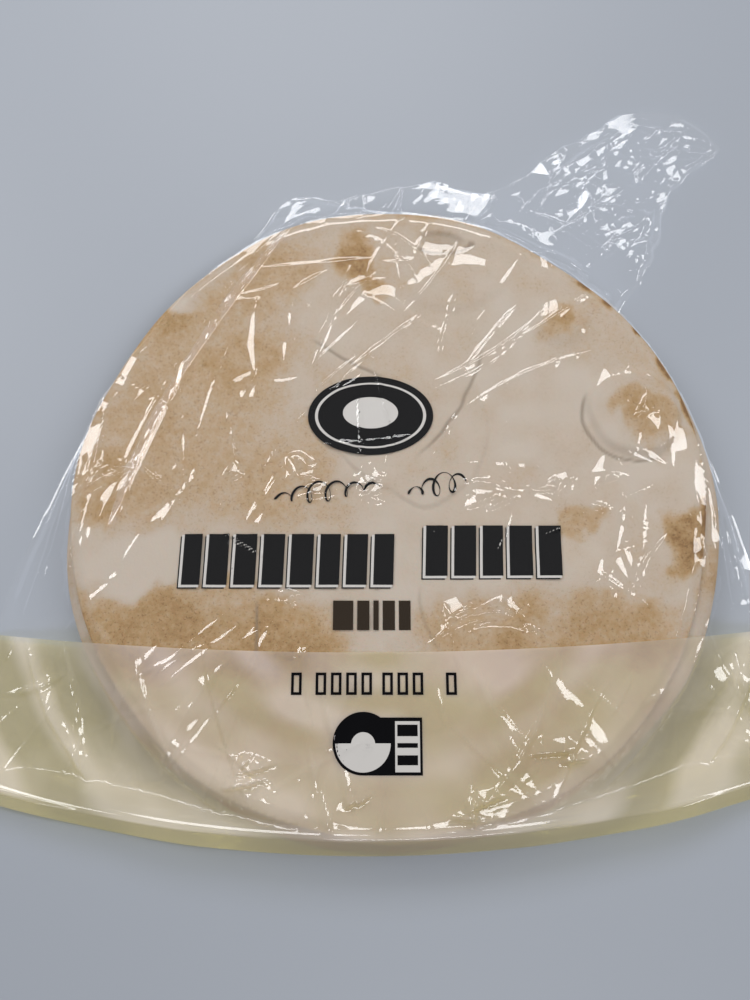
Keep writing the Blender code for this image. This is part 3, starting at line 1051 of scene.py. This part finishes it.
def film_material(name, through_color, tint, solid, shine):
    """Thin glossy film: see-through in one colour, and cloudy in its own tint by the share solid.

    The fold layer makes it more solid where the film is doubled up, and paints its tint lighter in some bands and
    darker in others, as painted light and shade.
    """
    material, nodes, links = new_material(name)
    out = nodes.new("ShaderNodeOutputMaterial")
    clear = nodes.new("ShaderNodeBsdfTransparent")
    clear.inputs["Color"].default_value = (*through_color, 1.0)
    body = clear.outputs[0]
    if solid > 0.0:
        fold_and_shade = nodes.new("ShaderNodeAttribute")
        fold_and_shade.attribute_name = "fold_and_shade"
        # Painted light and shade: the tint is painted darker where the fold layer is low and lighter where it is
        # high
        painted_tint = nodes.new("ShaderNodeMix")
        painted_tint.data_type = "RGBA"
        painted_tint.inputs["A"].default_value = (*(level * (1.0 - FOLD_PAINTED_SHADE) for level in tint), 1.0)
        painted_tint.inputs["B"].default_value = (*(level * (1.0 + FOLD_PAINTED_SHADE) for level in tint), 1.0)
        links.new(fold_and_shade.outputs["Fac"], painted_tint.inputs["Factor"])
        diffuse = nodes.new("ShaderNodeBsdfDiffuse")
        through = nodes.new("ShaderNodeBsdfTranslucent")
        for shader in (diffuse, through):
            links.new(painted_tint.outputs["Result"], shader.inputs["Color"])
        cloudy = nodes.new("ShaderNodeMixShader")
        cloudy.inputs["Fac"].default_value = 0.4
        links.new(diffuse.outputs[0], cloudy.inputs[1])
        links.new(through.outputs[0], cloudy.inputs[2])
        layer = nodes.new("ShaderNodeMixShader")
        share = nodes.new("ShaderNodeMapRange")
        share.inputs["To Min"].default_value = solid - 0.5 * FOLD_HAZE
        share.inputs["To Max"].default_value = solid + 0.5 * FOLD_HAZE
        links.new(fold_and_shade.outputs["Fac"], share.inputs["Value"])
        links.new(share.outputs["Result"], layer.inputs["Fac"])
        links.new(clear.outputs[0], layer.inputs[1])
        links.new(cloudy.outputs[0], layer.inputs[2])
        body = layer.outputs[0]
    fresnel = nodes.new("ShaderNodeFresnel")
    fresnel.inputs["IOR"].default_value = 1.25
    mirror = nodes.new("ShaderNodeMapRange")
    mirror.inputs["To Min"].default_value = SHEEN
    mirror.inputs["To Max"].default_value = 0.35
    links.new(fresnel.outputs[0], mirror.inputs["Value"])
    gloss = nodes.new("ShaderNodeBsdfGlossy")
    gloss.inputs["Roughness"].default_value = shine
    links.new(mirror.outputs["Result"], gloss.inputs["Color"])
    both = nodes.new("ShaderNodeAddShader")
    links.new(body, both.inputs[0])
    links.new(gloss.outputs[0], both.inputs[1])
    links.new(both.outputs[0], out.inputs["Surface"])
    return material


def plain_material(name, color, roughness, specular=0.5):
    material, nodes, links = new_material(name)
    out = nodes.new("ShaderNodeOutputMaterial")
    shader = nodes.new("ShaderNodeBsdfPrincipled")
    shader.inputs["Base Color"].default_value = (*color, 1.0)
    shader.inputs["Roughness"].default_value = roughness
    shader.inputs["Specular IOR Level"].default_value = specular
    links.new(shader.outputs["BSDF"], out.inputs["Surface"])
    return material


# ---------------------------------------------------------------- stage

LAMP_DISTANCE = 1.3


def add_floor():
    half, z = 1.8, cad_box[0].z - 0.0002
    mesh = bpy.data.meshes.new("floor")
    corners = [(-half, -half, z), (half, -half, z), (half, half, z), (-half, half, z)]
    mesh.from_pydata(corners, [], [(0, 1, 2, 3)])
    floor = bpy.data.objects.new("floor", mesh)
    bpy.context.scene.collection.objects.link(floor)
    mesh.materials.append(plain_material("table", (0.375, 0.405, 0.46), 0.5))


def add_lamp(name, direction, size, power):
    """A soft rectangular lamp that faces the middle of the scene."""
    data = bpy.data.lights.new(name, "AREA")
    data.shape = "RECTANGLE"
    data.size, data.size_y = size
    data.energy = power
    lamp = bpy.data.objects.new(name, data)
    place = Vector(direction).normalized() * LAMP_DISTANCE
    lamp.location = place
    lamp.rotation_euler = (-place).to_track_quat("-Z", "Y").to_euler()
    bpy.context.scene.collection.objects.link(lamp)


def add_camera():
    data = bpy.data.cameras.new("camera")
    data.lens = 27.0
    data.sensor_width = 36.0
    data.clip_start = 0.01
    camera = bpy.data.objects.new("camera", data)
    target = Vector((-0.0047, 0.0079, 0.0))
    elevation, distance = math.radians(77.0), 0.3095
    offset = Vector((0.0, -math.cos(elevation), math.sin(elevation))) * distance
    camera.location = target + offset
    camera.rotation_euler = (-offset).to_track_quat("-Z", "Y").to_euler()
    bpy.context.scene.collection.objects.link(camera)
    bpy.context.scene.camera = camera


def add_world(strength, backdrop):
    """White light from all round, and a paler backdrop that only the camera sees."""
    world = bpy.data.worlds.new("world")
    world.use_nodes = True
    nodes, links = world.node_tree.nodes, world.node_tree.links
    background = nodes["Background"]
    background.inputs["Color"].default_value = (1.0, 1.0, 1.0, 1.0)
    rays = nodes.new("ShaderNodeLightPath")
    level = nodes.new("ShaderNodeMapRange")
    level.inputs["To Min"].default_value = strength
    level.inputs["To Max"].default_value = backdrop
    links.new(rays.outputs["Is Camera Ray"], level.inputs["Value"])
    links.new(level.outputs["Result"], background.inputs["Strength"])
    bpy.context.scene.world = world


# ---------------------------------------------------------------- build


def build():
    crumb = bread_material("bread", 1.0)
    lower_crumb = bread_material("bread_lower", 4.0)
    finish_piece(bread_piece("bread_1", 0, *TOP_MESH, top_relief, top_toast, crumb))
    for level in range(1, len(BREADS)):
        finish_piece(
            bread_piece(
                f"bread_{level + 1}",
                level,
                *LOWER_MESH,
                lambda x, y, level=level: plain_relief(x, y, level),
                lambda x, y, level=level: plain_toast(x, y, level),
                lower_crumb,
            ),
        )

    plan, low, high = film_surfaces()
    upper = np.dstack([plan, high])
    lower = np.dstack([plan, low])
    upper_normals, lower_normals = grid_normals(upper), grid_normals(lower)
    back = row_shares()
    band_rows = int(np.searchsorted(back, BAND_TOP))
    middle = (band_rows + ROWS) // 2
    surface = Surface(upper)
    clear = film_material("film", (0.97, 0.97, 0.97), (1.0, 1.0, 1.0), 0.0, 0.04)
    band = film_material("band", (0.97, 0.93, 0.48), (0.83, 0.775, 0.80), 0.52, 0.06)
    finish_piece(grid_piece("band_front", upper, upper_normals, (0, band_rows), band, WALL_ROWS))
    finish_piece(grid_piece("film_front", upper, upper_normals, (band_rows, middle), clear))
    finish_piece(grid_piece("film_mouth", upper, upper_normals, (middle, ROWS), clear))
    thin = lower[::UNDER_STEP, ::UNDER_STEP]
    thin_normals = lower_normals[::UNDER_STEP, ::UNDER_STEP]
    thin_band = band_rows // UNDER_STEP
    finish_piece(grid_piece("band_back", thin, thin_normals, (0, thin_band), band))
    finish_piece(grid_piece("film_back", thin, thin_normals, (thin_band, ROWS // UNDER_STEP), clear))

    hazy = film_material("film_folded", (1.0, 1.0, 1.0), (0.80, 0.77, 0.82), 0.14, 0.05)
    finish_piece(pleat_piece(surface, hazy))
    add_print(
        surface,
        plain_material("ink_black", (0.006, 0.006, 0.007), 0.8, 0.0),
        plain_material("ink_pale", (0.60, 0.58, 0.56), 0.8, 0.1),
        plain_material("ink_brown", (0.026, 0.016, 0.008), 0.8, 0.0),
    )


build()
add_floor()
add_camera()
add_world(0.20, 0.42)
add_lamp("soft_back", (-0.08, 0.92, 0.80), (0.80, 0.38), 5.6)
add_lamp("soft_right", (0.86, 0.16, 0.78), (0.34, 0.62), 4.4)
add_lamp("soft_left", (-0.80, 0.48, 0.76), (0.34, 0.70), 5.4)
add_lamp("soft_front", (0.10, -0.66, 0.84), (0.55, 0.30), 3.6)
bpy.context.scene.view_settings.view_transform = "Standard"
